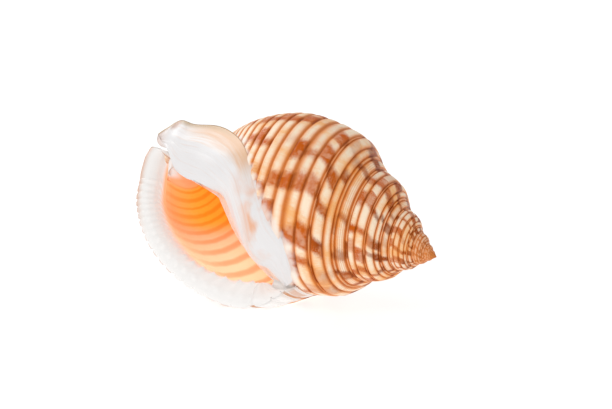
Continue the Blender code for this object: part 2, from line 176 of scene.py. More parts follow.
def cords(marks):
    """For each mark the cord's number, the share across it, its width and the way to a groove in mm."""
    number = np.clip(np.searchsorted(GROOVES, marks + 1e-9) - 1, 0, len(GROOVES) - 2)
    start, end = GROOVES[number], GROOVES[number + 1]
    across = np.clip((marks - start) / (end - start), 0, 1)
    width = (end - start) * np.where(start > 0.95, BASE_LENGTH, WALL_LENGTH)
    past = np.maximum(marks - GROOVES[-1], 0) * BASE_LENGTH
    return number, across, width, np.minimum(across, 1 - across) * width + past


def relief(marks):
    """A bell-shaped groove, exp of minus distance squared, between cords that are low arches."""
    _, across, width, groove = cords(marks)
    ends = 1 - ease((marks - GROOVES[-1] + 0.2) / 0.3)
    arch = CROWN * np.minimum(1, width / 2.5) * (1 - (2 * across - 1) ** 4)
    seam_line = np.where(marks < 0.02, 0.4, 1)
    return ends * (arch - GROOVE_DEPTH * seam_line * np.exp(-(groove / GROOVE_WIDTH) ** 2))


def lip_share(marks):
    """How fully the collar and its roll stand out: nothing at the seam and at the foot."""
    return ease(marks / 0.85) * ease((LIP_FOOT_MARK - marks) / 0.3)


cord_marks = (GROOVES[:-1, None] + np.diff(GROOVES)[:, None] * np.array(ACROSS_CORD)).ravel()
cord_marks[np.argmin(abs(cord_marks - 1))] = 1.0
marks = np.r_[cord_marks, np.linspace(GROOVES[-1], 3, 34)]
at_seam = int(np.flatnonzero(marks == 1.0)[0])
last = len(marks) - 1
rows = int(round((LIP_TURN - TIP_TURN) * STEPS))
mouth_row = rows - STEPS
turns = LIP_TURN - (rows - np.arange(rows + 1)) / STEPS
fine, fine_normal, fine_marks = profile(turns)
line, normal = sample(fine, fine_marks, marks), sample(fine_normal, fine_marks, marks)
turned_out = np.clip((turns - LIP_TURN + COLLAR_TURNS) / COLLAR_TURNS, 0, 1)
collar = COLLAR * turned_out ** COLLAR_CURVE
small = np.minimum(1, seam(turns)[1] / 8)
deeper = 1 + 0.8 * turned_out ** 2
height = collar[:, None] * lip_share(marks) + (small * deeper)[:, None] * relief(marks)
# Low swellings across the coil mark where growth paused
pauses = 0.10 * np.sin(2 * np.pi * (6.1 * turns + 0.35 * np.sin(5 * turns))) ** 8
height += (small * pauses)[:, None] * ease(marks / 0.3) * before_foot(marks)
outside = place(line + normal * height[..., None], turns[:, None])

# The lip rolls in from its crest, and the hollow follows the coil back from there
LIP_ROLL = ((4.0, 0.7), (2.9, 1.2), (1.5, 1.15), (0.2, 0.6), (-0.9, -0.5))
HOLLOW_START, HOLLOW_END, HOLLOW_END_MARK = 1.03, 0.05, 2.5
WALL_IN_SPIRE, WALL_AT_LIP, LINING, PILLAR_RADIUS = 1.3, 1.8, 0.3, 2.5
ROLL_LOOPS, HOLLOW_LOOPS = 26, 34
LIP_RIBS, LIP_TEETH, LIP_SWELLING = 0.16, 0.85, 1.9


def run(line):
    """How far along the line each point is, from 0 to 1."""
    length = np.r_[0, np.cumsum(np.linalg.norm(np.diff(line, axis=0), axis=1))]
    return length / length[-1]


def read(line, at):
    """Points of the line at shares of its length."""
    return np.stack([np.interp(at, run(line), c) for c in line.T], -1)


def hollow_section(turn, outer_at, inner_at):
    """A ring a wall's thickness inside the outside's profile, and a lining's on the whorl before it."""
    fine, _, marks = profile(np.array([turn, turn - 1]))
    small = min(1.0, float(seam(turn)[1]) / 10)
    outer = fine[0][marks <= HOLLOW_END_MARK]
    inner = fine[1][(marks >= 1) & (marks <= 2.25)]
    pillar = PILLAR_RADIUS * small
    foot = outer[-1, 0] - 5 * small
    if foot > inner[-1, 0]:
        inner = np.vstack([inner, [[foot, pillar]]])
    inner[:, 1] = np.maximum(inner[:, 1], pillar)
    at = np.linspace(0, 1, 201)
    outer, inner = read(outer, at), read(inner, at)
    gap = np.linalg.norm(inner - outer, axis=1)
    wall = WALL_IN_SPIRE + (WALL_AT_LIP - WALL_IN_SPIRE) * np.clip((turn - 0.7) / 0.3, 0, 1)
    wall *= max(small, 0.45)
    roomy = at[gap > 2.6 * wall]
    sides = []
    for share, near, far, away in ((outer_at, outer, inner, wall),
                                   (inner_at, inner, outer, LINING * small)):
        steps = roomy[0] + (roomy[-1] - roomy[0]) * share
        start = np.stack([np.interp(steps, at, c) for c in near.T], -1)
        toward = np.stack([np.interp(steps, at, c) for c in far.T], -1) - start
        sides.append(start + toward / np.linalg.norm(toward, axis=1, keepdims=True) * away)
    return place(np.vstack([sides[0], sides[0][-1:], sides[1]]), turn)


def through(stations, at):
    """A smooth line through the stations, read at shares of their count."""
    before, after = 2 * stations[:1] - stations[1:2], 2 * stations[-1:] - stations[-2:-1]
    knots = np.concatenate([before, stations, after])
    x = at * (len(stations) - 1)
    i = np.clip(x.astype(int), 0, len(stations) - 2)
    u = (x - i).reshape((-1,) + (1,) * (stations.ndim - 1))
    p0, p1, p2, p3 = (knots[i + k] for k in range(4))
    bend = (2 * p0 - 5 * p1 + 4 * p2 - p3) * u**2 + (3 * p1 - p0 - 3 * p2 + p3) * u**3
    return p1 + ((p2 - p0) * u + bend) / 2


lip_marks = marks[:-1]
lip_line, lip_normal = line[rows, :-1], normal[rows, :-1]
body = outside[mouth_row, last - 1:at_seam:-1]
body_marks = marks[last - 1:at_seam:-1]
outer_at, inner_at = run(lip_line), 1 - run(body) * 0.98
mouth = hollow_section(HOLLOW_START, outer_at, inner_at)
outer_here, inner_here = mouth[:len(lip_marks)], mouth[len(lip_marks) + 1:]
angle = 2 * np.pi * LIP_TURN
forward = np.array([0, -np.cos(angle), np.sin(angle)])
stands = lip_share(lip_marks)[:, None]
navel_spot = np.array([-NAVEL_REACH, 0, 0])
rings = [np.vstack([outside[rows, :-1], [navel_spot], body])]
for k, (out, ahead) in enumerate(LIP_ROLL):
    inward = (k + 1) / (len(LIP_ROLL) + 0.5)
    rolled = place(lip_line + lip_normal * out * stands, LIP_TURN) + forward * ahead * stands
    rolled += (outer_here - rolled) * (1 - stands) * inward
    foot = navel_spot * (1 - inward) + mouth[len(lip_marks)] * inward
    rings.append(np.vstack([rolled, [foot], body + (inner_here - body) * inward]))
rings.append(mouth)
rolled_in = through(np.stack(rings), np.linspace(0, 1, ROLL_LOOPS + 1))[1:]
# Every cord ends in a rib across the lip, with a bead in its middle and a tooth at its inner edge
number, across, width, groove_way = cords(lip_marks)
step_in = np.linspace(0, 1, ROLL_LOOPS + 1)[1:, None]
rib = np.cos(2 * np.pi * (across - 0.5)) * stands[:, 0]
rib_height = LIP_RIBS * np.sin(np.pi * np.clip(step_in * 1.05, 0, 1)) * rib
bead = 0.16 * np.exp(-((step_in - 0.50) / 0.035) ** 2) * np.maximum(rib, 0)
toothed = ease((1.5 - lip_marks) / 0.25) * ease((lip_marks - 0.55) / 0.2)
tooth = LIP_TEETH * np.exp(-((step_in - 0.80) / 0.10) ** 2) * np.maximum(rib, 0) ** 2 * toothed
# By the upper corner the inner edge swells up under the last teeth
swelling = LIP_SWELLING * np.exp(-((step_in - 0.80) / 0.16) ** 2)
swelling = swelling * ease((1.35 - lip_marks) / 0.6) * ease((lip_marks + 0.05) / 0.2)
lift = (rib_height + bead + tooth)[..., None]
rolled_in[:, :len(lip_marks)] += lift * forward * (1 - step_in[..., None] * 0.5)
push_in = lift * step_in[..., None] * 0.5 + swelling[..., None]
rolled_in[:, :len(lip_marks)] -= push_in * place(lip_normal, LIP_TURN)
loop_share = np.arange(1, HOLLOW_LOOPS + 1) / HOLLOW_LOOPS
hollow_turns = HOLLOW_START + (HOLLOW_END - HOLLOW_START) * loop_share
hollow = np.stack([hollow_section(turn, outer_at, inner_at) for turn in hollow_turns])
rings = np.concatenate([rolled_in, hollow])
ring_count = rings.shape[1]

# Number the points: each whorl's last column is the first column of the next whorl
own = np.ones((rows + 1, last + 1), bool)
own[:mouth_row, at_seam + 1:] = False
own[:rows + 1 - STEPS, at_seam] = False
own[:, last] = False
grid = np.full(own.shape, -1)
grid[own] = np.arange(own.sum())
grid[:rows + 1 - STEPS, at_seam] = grid[STEPS:, 0]
navel, tip = own.sum(), own.sum() + 1
grid[mouth_row:, last] = navel
spots = [outside[own], [navel_spot], [(-TIP_REACH, 0, 0)], rings.reshape(-1, 3)]
inner_grid = tip + 1 + np.arange(len(rings) * ring_count).reshape(len(rings), ring_count)
ring = np.r_[grid[rows, :last], navel, grid[mouth_row, last - 1:at_seam:-1]]
inner_grid = np.vstack([ring, inner_grid])
spots.append([rings[-1].mean(axis=0)])
deep_end = tip + 1 + len(rings) * ring_count
coil_points = np.vstack(spots)


def cells(numbers, columns):
    """Corners of the cells of a grid of numbers, and which row and column each corner is in."""
    j, i = np.meshgrid(np.arange(numbers.shape[0] - 1), columns, indexing="ij")
    j, i = j.ravel(), i.ravel()
    row = np.stack([j, j, j + 1, j + 1], -1)
    column = np.stack([i, i + 1, i + 1, i], -1)
    return numbers[row, column], row, column


LYING = (Matrix.Rotation(radians(-15.0), 3, "X") @ Matrix.Rotation(radians(20.4), 3, "Y")
         @ Matrix.Rotation(radians(-26.0), 3, "Z"))
LYING_SHIFT = (34.042, -19.5657, 14.9336)
# The cords and the roll reach past the CAD surface, so all is drawn in about the spire's tip
DRAWN_IN, STILL_POINT = (0.9955, 0.9897, 0.9920), (33.75, 0.02, 0.0)


def lay_down(points):
    """Turned so that the axis points right and down, then set on its worn flat, which is level."""
    world = points @ np.array(LYING).T + LYING_SHIFT
    world = (world - STILL_POINT) * DRAWN_IN + np.array(STILL_POINT) * (1, 0, 1)
    world[:, 2] = np.maximum(world[:, 2], 0)
    return world


def mesh_piece(name, points, polygons, layers):
    """A mesh from points in mm, a list of arrays of corners, and named pairs of values per corner."""
    mesh = bpy.data.meshes.new(name)
    corners = np.concatenate([p.ravel() for p in polygons])
    sizes = np.concatenate([np.full(len(p), p.shape[1]) for p in polygons])
    mesh.vertices.add(len(points))
    mesh.vertices.foreach_set("co", (points * MM).ravel().astype(np.float32))
    mesh.loops.add(len(corners))
    mesh.loops.foreach_set("vertex_index", corners.astype(np.int32))
    mesh.polygons.add(len(sizes))
    mesh.polygons.foreach_set("loop_start", np.r_[0, np.cumsum(sizes)[:-1]].astype(np.int32))
    mesh.update(calc_edges=True)
    for layer, pairs in layers.items():
        uv = mesh.uv_layers.new(name=layer)
        values = np.concatenate([p.reshape(-1, 2) for p in pairs]).astype(np.float32)
        uv.data.foreach_set("uv", values.ravel())
    mesh.shade_smooth()
    piece = bpy.data.objects.new(name, mesh)
    bpy.context.scene.collection.objects.link(piece)
    return piece


# Where each corner is. GIRTH is mm for one turn by the lip, and the side of the hollow that lies
# on the whorl before it has this much added to its marks
GIRTH, INNER_SIDE = 125.0, 10


def outside_values(row, column):
    """Three pairs for each corner: turn and mark, cord and share across it, mm from crest and groove.

    The cord is that of the cell's middle, and the way from the crest is below 0 outside the lip.
    """
    turn, mark = turns[row], marks[column]
    middle = mark.mean(axis=1, keepdims=True) + 0 * mark
    cord = np.clip(np.searchsorted(GROOVES, middle) - 1, 0, len(GROOVES) - 2)
    start, end = GROOVES[cord], GROOVES[cord + 1]
    groove = cords(mark)[3]
    return (np.stack([turn, mark], -1), np.stack([cord, (mark - start) / (end - start)], -1),
            np.stack([(turn - LIP_TURN) * GIRTH, groove], -1))


ring_length = np.linalg.norm(np.diff(np.concatenate([[coil_points[ring]], rings]), axis=0), axis=2)
way_in = np.vstack([np.zeros(ring_count), np.cumsum(ring_length, axis=0)])
ring_turn = np.r_[LIP_TURN, np.full(ROLL_LOOPS, LIP_TURN), hollow_turns]
ring_mark = np.r_[lip_marks, 3.0, INNER_SIDE + body_marks]
ring_groove = np.r_[groove_way, 9.0, 9 + 0 * body_marks]


def inside_values(row, column):
    """As outside_values, for the rings of the lip and the hollow."""
    mark = ring_mark[column]
    middle = np.minimum(mark, INNER_SIDE).mean(axis=1, keepdims=True) + 0 * mark
    cord = np.clip(np.searchsorted(GROOVES, middle) - 1, 0, len(GROOVES) - 2)
    share = (mark - GROOVES[cord]) / (GROOVES[cord + 1] - GROOVES[cord])
    return (np.stack([ring_turn[row] + 0 * mark, mark], -1), np.stack([cord, share], -1),
            np.stack([way_in[row, column], ring_groove[column]], -1))


spire_faces, spire_row, spire_column = cells(grid[:mouth_row + 1], np.arange(at_seam))
whorl_faces, whorl_row, whorl_column = cells(grid[mouth_row:], np.arange(last - 1))
whorl_row = whorl_row + mouth_row
foot_faces, foot_row, foot_column = cells(grid[mouth_row:], np.array([last - 1]))
foot_row = foot_row + mouth_row
foot_faces, foot_row, foot_column = (a[:, [0, 1, 3]] for a in (foot_faces, foot_row, foot_column))
closed_ring = np.hstack([inner_grid, inner_grid[:, :1]])
roll_faces, roll_row, roll_column = cells(closed_ring, np.arange(ring_count))
roll_values = inside_values(roll_row, np.minimum(roll_column, ring_count - 1))
tip_row = np.stack([np.arange(STEPS), np.arange(STEPS), np.arange(STEPS) + 1], -1)
tip_faces = np.stack([np.full(STEPS, tip), grid[tip_row[:, 1], 0], grid[tip_row[:, 2], 0]], -1)
first = np.stack([np.arange(at_seam), np.arange(at_seam), np.arange(at_seam) + 1], -1)
cap_faces = np.stack([np.full(at_seam, tip), grid[0, first[:, 2]], grid[0, first[:, 1]]], -1)
end_column = np.stack([np.arange(ring_count)] * 3, -1)
end_row = np.full(end_column.shape, len(inner_grid) - 1)
end_next = (np.arange(ring_count) + 1) % ring_count
end_faces = np.stack([np.full(ring_count, deep_end), inner_grid[-1], inner_grid[-1][end_next]], -1)
polygons = [spire_faces, whorl_faces, foot_faces, roll_faces, tip_faces, cap_faces, end_faces]
polygons = [corners[:, ::-1] for corners in polygons]
values = [outside_values(spire_row, spire_column), outside_values(whorl_row, whorl_column),
          outside_values(foot_row, foot_column), roll_values, outside_values(tip_row, 0 * tip_row),
          outside_values(0 * first, first), inside_values(end_row, end_column)]
layers = {name: [v[k][:, ::-1] for v in values] for k, name in enumerate(("coil", "cord", "lip"))}
coil = mesh_piece("coil", lay_down(coil_points), polygons, layers)

# The canal: a bent bore from the foot of the mouth to the back, behind the lip's tip
CANAL_PATH = ((-63.5, -3.2, -4.5), (-67.3, -2.8, -2.4), (-70.2, -2.2, -0.4), (-72.2, 0.4, 0.5),
              (-74.2, 4.4, 1.2), (-76.2, 8.4, 2.0))
CANAL_RADIUS, BORE_SIDES = 1.4, 24
path = through(np.array(CANAL_PATH), np.linspace(0, 1, 13))
ahead = np.gradient(path, axis=0)
ahead /= np.linalg.norm(ahead, axis=1, keepdims=True)
side = np.cross(ahead, (0, 0, 1.0))
side /= np.linalg.norm(side, axis=1, keepdims=True)
up = np.cross(side, ahead)
round_about = np.linspace(0, 2 * np.pi, BORE_SIDES, endpoint=False)
tube = (path[:, None] + CANAL_RADIUS * (side[:, None] * np.cos(round_about)[:, None]
                                        + up[:, None] * np.sin(round_about)[:, None]))
tube_numbers = np.arange(tube.shape[0] * BORE_SIDES).reshape(-1, BORE_SIDES)
tube_faces = cells(np.hstack([tube_numbers, tube_numbers[:, :1]]), np.arange(BORE_SIDES))[0][:, ::-1]
caps = [tube_numbers[:1], tube_numbers[-1:, ::-1]]
bore = mesh_piece("bore", lay_down(tube.reshape(-1, 3)), [tube_faces] + caps, {})
cut = coil.modifiers.new("Canal", "BOOLEAN")
cut.operation = "DIFFERENCE"
cut.solver = "FAST"
cut.object = bore
coil_mesh = bpy.data.meshes.new_from_object(coil.evaluated_get(bpy.context.evaluated_depsgraph_get()))
coil.modifiers.clear()
coil.data = coil_mesh
bpy.data.objects.remove(bore)
# The cut leaves a few loose points and slits along its edge, which are taken off and closed
mended = bmesh.new()
mended.from_mesh(coil_mesh)
bmesh.ops.delete(mended, geom=[e for e in mended.edges if e.is_wire], context="EDGES")
bmesh.ops.delete(mended, geom=[v for v in mended.verts if not v.link_faces], context="VERTS")
bmesh.ops.holes_fill(mended, edges=[e for e in mended.edges if e.is_boundary], sides=8)
mended.to_mesh(coil_mesh)
mended.free()


def tint(red, green, blue):
    """A colour as the eye names it, from 0 to 1, made linear by the power 2.2."""
    return (red ** 2.2, green ** 2.2, blue ** 2.2, 1)


def put(tree, kind, values=None, **settings):
    """A new node with its own settings, its inputs set to values or joined to sockets."""
    made = tree.nodes.new(kind)
    for name, value in settings.items():
        setattr(made, name, value)
    for name, value in (values or {}).items():
        if isinstance(value, bpy.types.NodeSocket):
            tree.links.new(value, made.inputs[name])
        else:
            made.inputs[name].default_value = value
    return made


def calc(tree, operation, *values):
    """The result of one sum on up to three values."""
    return put(tree, "ShaderNodeMath", dict(enumerate(values)), operation=operation).outputs[0]


def rise(tree, value, low, high, from_value=0.0, to_value=1.0):
    """A smooth step from one value to another between low and high."""
    inputs = {0: value, 1: low, 2: high, 3: from_value, 4: to_value}
    return put(tree, "ShaderNodeMapRange", inputs, interpolation_type="SMOOTHSTEP").outputs[0]


def blend(tree, share, first, second, how="MIX"):
    """Two colours mixed by a share."""
    made = put(tree, "ShaderNodeMix", {0: share, 6: first, 7: second}, data_type="RGBA", blend_type=how)
    return made.outputs[2]


def noise(tree, where, scale, detail=2.0, rough=0.5):
    """Cloudy noise from 0 to 1."""
    inputs = {"Vector": where, "Scale": scale, "Detail": detail, "Roughness": rough}
    return put(tree, "ShaderNodeTexNoise", inputs).outputs[0]


def split(tree, layer):
    """The two values of a named layer."""
    made = put(tree, "ShaderNodeUVMap", uv_map=layer)
    parts = put(tree, "ShaderNodeSeparateXYZ", {0: made.outputs[0]})
    return parts.outputs[0], parts.outputs[1]


def join(tree, x, y, z=0.0):
    """Three values as one place."""
    return put(tree, "ShaderNodeCombineXYZ", {0: x, 1: y, 2: z}).outputs[0]


def new_material(name):
    """An empty material with its shader, and its tree."""
    material = bpy.data.materials.new(name)
    material.use_nodes = True
    tree = material.node_tree
    return material, tree, tree.nodes["Principled BSDF"]


# Colours of the outside: cream cords, brown groove lines, ochre to dark brown flames
CREAM, PALE = tint(0.98, 0.74, 0.50), tint(1.0, 0.91, 0.80)
OCHRE, DARK, GROOVE_BROWN = tint(0.78, 0.36, 0.0), tint(0.52, 0.22, 0.03), tint(0.82, 0.42, 0.06)
LIP_WHITE, SALMON, ORANGE = tint(0.96, 0.95, 0.94), tint(0.98, 0.68, 0.50), tint(1.0, 0.69, 0.24)
PEACH_PAINTED_LIGHT, SPIRAL_BROWN, TIP_BROWN = tint(1.0, 0.93, 0.80), tint(0.92, 0.46, 0.02), tint(0.88, 0.53, 0.27)
FLAMES_A_TURN, THREAD_SPACING, SPIRAL_SPACING = 12.6, 0.032, 0.145
# How far each flame runs ahead, in turns, from the upper seam over the wall and onto the base
FLAME_LEAN = ((0.0, -0.038), (0.22, -0.025), (0.38, -0.018), (0.5, -0.010), (0.6, 0.0), (0.75, 0.010),
              (0.9, 0.014), (1.15, 0.002), (1.5, -0.012), (2.0, -0.02))

material, tree, surface = new_material("shell-coil")
turn, mark = split(tree, "coil")
cord, across = split(tree, "cord")
inward, groove = split(tree, "lip")
here = put(tree, "ShaderNodeTexCoord").outputs["Object"]


def stretched(turn_scale, mark_scale, scale, detail=2.0):
    """Noise drawn out along the growth lines or along the cords."""
    at = join(tree, calc(tree, "MULTIPLY", turn, turn_scale), calc(tree, "MULTIPLY", mark, mark_scale))
    return noise(tree, at, scale, detail)


# Flames: along each row a cord gets a patch of its own place and length, or none
curve = put(tree, "ShaderNodeFloatCurve", {"Factor": 1.0, "Value": calc(tree, "DIVIDE", mark, 2.0)})
for k, (x, y) in enumerate(FLAME_LEAN):
    spot = (x / 2.0, 0.5 + 10 * y)
    if k in (0, len(FLAME_LEAN) - 1):
        curve.mapping.curves[0].points[0 if k == 0 else -1].location = spot
    else:
        curve.mapping.curves[0].points.new(*spot)
curve.mapping.update()
lean = calc(tree, "DIVIDE", calc(tree, "SUBTRACT", curve.outputs[0], 0.5), 10.0)
waver = calc(tree, "SUBTRACT", stretched(9.0, 1.0, 1.3), 0.5)
start = calc(tree, "MULTIPLY_ADD", waver, 0.5, 0.04)
phase = calc(tree, "MULTIPLY_ADD", calc(tree, "SUBTRACT", turn, lean), FLAMES_A_TURN, start)
index = calc(tree, "FLOOR", phase)
along = calc(tree, "FRACT", phase)
chance = put(tree, "ShaderNodeTexWhiteNoise", {0: join(tree, cord, index, 3.7)}, noise_dimensions="3D")
parts = put(tree, "ShaderNodeSeparateColor", {0: chance.outputs["Color"]})
centre = rise(tree, parts.outputs[0], 0.0, 1.0, 0.30, 0.70)
half = rise(tree, parts.outputs[1], 0.0, 1.0, 0.12, 0.34)
away = calc(tree, "ABSOLUTE", calc(tree, "SUBTRACT", along, centre))
ragged = stretched(160.0, 60.0, 1.0, 3.0)
away = calc(tree, "MULTIPLY_ADD", ragged, 0.14, calc(tree, "SUBTRACT", away, 0.07))
flame = rise(tree, calc(tree, "SUBTRACT", away, half), -0.11, 0.09, 1.0, 0.0)
fewer = rise(tree, mark, 1.25, 1.7, 0.08, 0.80)
chosen = rise(tree, parts.outputs[2], fewer, calc(tree, "ADD", fewer, 0.25))
flame = calc(tree, "MULTIPLY", flame, chosen)
# Cream cords, paler in clouds and browner towards the grooves
clouds = noise(tree, here, 170.0, 3.0)
streaks = stretched(420.0, 9.0, 1.0, 4.0)
pale = calc(tree, "ADD", calc(tree, "MULTIPLY", streaks, 0.25), calc(tree, "MULTIPLY", clouds, 0.75))
base = blend(tree, rise(tree, pale, 0.34, 0.58), CREAM, PALE)
base = blend(tree, rise(tree, groove, 0.15, 1.1, 0.60, 0.0), base, tint(0.95, 0.57, 0.20))
high = rise(tree, mark, 0.9, 0.3)
darker = calc(tree, "ADD", calc(tree, "MULTIPLY", clouds, 0.7), calc(tree, "MULTIPLY", high, 0.3))
flame_colour = blend(tree, rise(tree, darker, 0.42, 0.78), OCHRE, DARK)
blotches = rise(tree, noise(tree, here, 520.0, 3.0), 0.36, 0.56, 0.72, 1.0)
colour = blend(tree, calc(tree, "MULTIPLY", flame, blotches), base, flame_colour)
# Fine brown threads run along the shoulder below each seam
thread = calc(tree, "SINE", calc(tree, "MULTIPLY", mark, 2 * np.pi / THREAD_SPACING))
thread = calc(tree, "MULTIPLY", rise(tree, thread, -0.2, 0.9), rise(tree, mark, 0.26, 0.16))
colour = blend(tree, calc(tree, "MULTIPLY", thread, 0.42), colour, GROOVE_BROWN)
groove_share = rise(tree, groove, 0.05, 0.55, 0.80, 0.0)
groove_colour = blend(tree, calc(tree, "MULTIPLY", flame, 0.8), GROOVE_BROWN, DARK)
colour = blend(tree, groove_share, colour, groove_colour)
old = rise(tree, turn, -3.2, -1.4, 0.7, 0.0)
colour = blend(tree, old, colour, TIP_BROWN)
# The lip: white from a wavering line outside its crest, with small brown spots on the cords
edge = calc(tree, "ADD", inward, calc(tree, "MULTIPLY", noise(tree, here, 300.0), 2.0))
reach = rise(tree, mark, 0.9, 0.25, 3.0, 9.0)
white = rise(tree, calc(tree, "ADD", edge, reach), -0.5, 2.0)
rimmed = blend(tree, rise(tree, mark, 1.5, 2.1), LIP_WHITE, tint(0.80, 0.60, 0.48))
rimmed = blend(tree, rise(tree, inward, 0.0, 2.6), rimmed, LIP_WHITE)
off_middle = calc(tree, "ABSOLUTE", calc(tree, "SUBTRACT", across, 0.5))
spots = calc(tree, "MULTIPLY", rise(tree, inward, 0.6, -0.4), rise(tree, off_middle, 0.40, 0.25))
spots = calc(tree, "MULTIPLY", spots, rise(tree, parts.outputs[1], 0.2, 0.4))
rimmed = blend(tree, calc(tree, "MULTIPLY", spots, 0.85), rimmed, tint(0.80, 0.50, 0.24))
colour = blend(tree, white, colour, rimmed)
# The orange starts deeper where the lip meets the whorl, on both sides of that corner
on_body = calc(tree, "GREATER_THAN", mark, 5.0)
body_side = calc(tree, "MULTIPLY", on_body, rise(tree, mark, 12.1, 11.1, 0.0, 3.0))
corner = calc(tree, "ADD", rise(tree, mark, 1.3, 0.4, 0.0, 4.0), body_side)
on_lip = calc(tree, "SUBTRACT", 1.0, on_body)
canal_side = calc(tree, "MULTIPLY", on_lip, rise(tree, mark, 2.4, 2.6, 0.0, 2.0))
corner = calc(tree, "SUBTRACT", corner, canal_side)
depth = rise(tree, calc(tree, "SUBTRACT", edge, corner), 7.0, 10.5)
# Enamel thins out over the whorl beside the shield
near = put(tree, "ShaderNodeAttribute", attribute_name="glaze").outputs["Fac"]
near = calc(tree, "SUBTRACT", near, calc(tree, "MULTIPLY", calc(tree, "SUBTRACT", clouds, 0.40), 4.0))
glaze = calc(tree, "MULTIPLY", rise(tree, near, 1.3, 0.0), 0.62)
colour = blend(tree, glaze, colour, tint(0.95, 0.93, 0.91))
# Between the shield and the mouth the whorl is enamelled all over
in_mouth = calc(tree, "MULTIPLY", rise(tree, turn, 0.25, 0.17), rise(tree, mark, 1.03, 1.15))
mouth_colour = blend(tree, clouds, SALMON, LIP_WHITE)
colour = blend(tree, calc(tree, "MULTIPLY", in_mouth, 0.92), colour, mouth_colour)
# The hollow: salmon and peach by the lip, orange further in, with a darker band under each cord
# Painted light: the paler peach on the lower side of the hollow, and its reach further in there, stand
# for light falling into the mouth
lit_low_side = rise(tree, mark, 2.0, 1.1, 0.0, 34.0)
deep = rise(tree, calc(tree, "SUBTRACT", inward, lit_low_side), 9.0, 24.0)
rim = blend(tree, rise(tree, mark, 1.95, 1.2), SALMON, PEACH_PAINTED_LIGHT)
inside = blend(tree, deep, rim, ORANGE)
line_wave = calc(tree, "COSINE", calc(tree, "MULTIPLY", mark, 2 * np.pi / SPIRAL_SPACING))
stronger = rise(tree, inward, 8.0, 22.0, 0.10, 0.5)
spiral = calc(tree, "MULTIPLY", rise(tree, line_wave, -0.5, 1.0), stronger)
inside = blend(tree, spiral, inside, SPIRAL_BROWN)
colour = blend(tree, depth, colour, inside)
tree.links.new(colour, surface.inputs["Base Color"])
roughness = rise(tree, clouds, 0.2, 0.8, 0.30, 0.42)
roughness = calc(tree, "SUBTRACT", roughness, calc(tree, "MULTIPLY", white, 0.12))
tree.links.new(roughness, surface.inputs["Roughness"])
surface.inputs["Specular IOR Level"].default_value = 0.12
surface.inputs["Coat Weight"].default_value = 0.04
surface.inputs["Coat Roughness"].default_value = 0.08
fine_lines = stretched(900.0, 14.0, 1.0)
bump = put(tree, "ShaderNodeBump", {"Strength": 0.35, "Distance": 0.00012, "Height": fine_lines})
tree.links.new(bump.outputs[0], surface.inputs["Normal"])
# Painted light: the coil glows faintly in a quarter of its own colour, and the hollow glows in its inside
# colours, as if lit from within
painted_glow = blend(tree, depth, blend(tree, 0.25, (0, 0, 0, 1), colour), inside)
tree.links.new(painted_glow, surface.inputs["Emission Color"])
surface.inputs["Emission Strength"].default_value = 0.30
coil.data.materials.append(material)
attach(coil, "root")
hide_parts("shell")

# Shield
# The smooth white plate of enamel beside the mouth: it lies on the last whorl at the mouth's upper
# corner, stands free further down and ends at the canal.

SHIELD_MOUTH_EDGE = (
    (31.4, 18.2, 12), (32.2, 18.6, 22), (34.4, 18.7, 31), (38.0, 17.4, 26), (41.6, 15.6, 26),
    (44.4, 14.9, 52), (49.1, 13.6, 70), (53.7, 11.6, 73), (58.3, 10.4, 74), (62.3, 8.6, 70),
    (66.7, 6.4, 74), (70.4, 4.6, 104), (74.0, 3.7, 144), (76.4, 4.0, 172),
)
SHIELD_FREE_EDGE = (
    (27.6, 18.5, 27), (27.0, 18.5, 41), (28.2, 18.9, 58), (29.9, 19.2, 65), (33.4, 19.5, 75),
    (37.4, 19.6, 89), (42.9, 18.9, 106), (47.4, 17.2, 119), (53.5, 14.6, 135), (61.3, 11.8, 154),
    (67.3, 9.8, 162), (71.8, 9.2, 170), (75.0, 6.3, 174), (76.6, 4.4, 173),
)
SHIELD_THICKNESS, SHIELD_SINK, SHIELD_RISE, SHIELD_LEAVES = 1.5, 0.25, 1.0, (5.6, 7.4)
LENGTH_POINTS, WIDTH_POINTS = 150, 72

along = np.linspace(0, 1, LENGTH_POINTS)
across = np.linspace(0, 1, WIDTH_POINTS)
mouth_edge, free_edge = (through(np.array(edge, float) * (1, 1, 1 / 360), along)
                         for edge in (SHIELD_MOUTH_EDGE, SHIELD_FREE_EDGE))
sheet = mouth_edge[:, None] + (free_edge - mouth_edge)[:, None] * across[None, :, None]
reach, radius, sheet_turn = np.moveaxis(sheet, -1, 0)


def body_radius(reach, turn):
    """R of the last whorl's outside at A and turn, read from its profile at each row of the sheet."""
    found = np.empty(reach.shape)
    for k in range(len(reach)):
        fine, _, marks = profile(turn[k])
        on_body = marks <= 2.45
        found[k] = [np.interp(a, *f[on_body].T) for a, f in zip(reach[k], fine)]
    return found


body_here = body_radius(reach, sheet_turn)
station = along[:, None] * (len(SHIELD_FREE_EDGE) - 1)
free = ease((station - SHIELD_LEAVES[0]) / (SHIELD_LEAVES[1] - SHIELD_LEAVES[0]))
lying = body_here - SHIELD_SINK + SHIELD_RISE * np.sqrt(np.sin(np.pi * across))
dished = radius - 4 * across * (1 - across) * ease((station - 7) / 2)
top = lying * (1 - free) + np.maximum(dished, body_here - 3) * free
width_share = np.sqrt(1 - np.abs(2 * across - 1) ** 6)
end_share = np.sqrt(1 - np.clip((along - 0.93) / 0.07, 0, 1) ** 2) * np.sqrt(np.clip(along / 0.03, 0, 1))
share = end_share[:, None] * width_share
wrinkles = 0.05 * np.sin(26 * across + 3 * np.sin(7 * along[:, None])) * share
upper = place(np.stack([reach, top + wrinkles], -1), sheet_turn)
lower = place(np.stack([reach - 0.3 * share * free, top - SHIELD_THICKNESS * share], -1), sheet_turn)
count = upper[..., 0].size
upper_grid = np.arange(count).reshape(LENGTH_POINTS, WIDTH_POINTS)
lower_grid = upper_grid + count
rim = np.ones((LENGTH_POINTS, WIDTH_POINTS), bool)
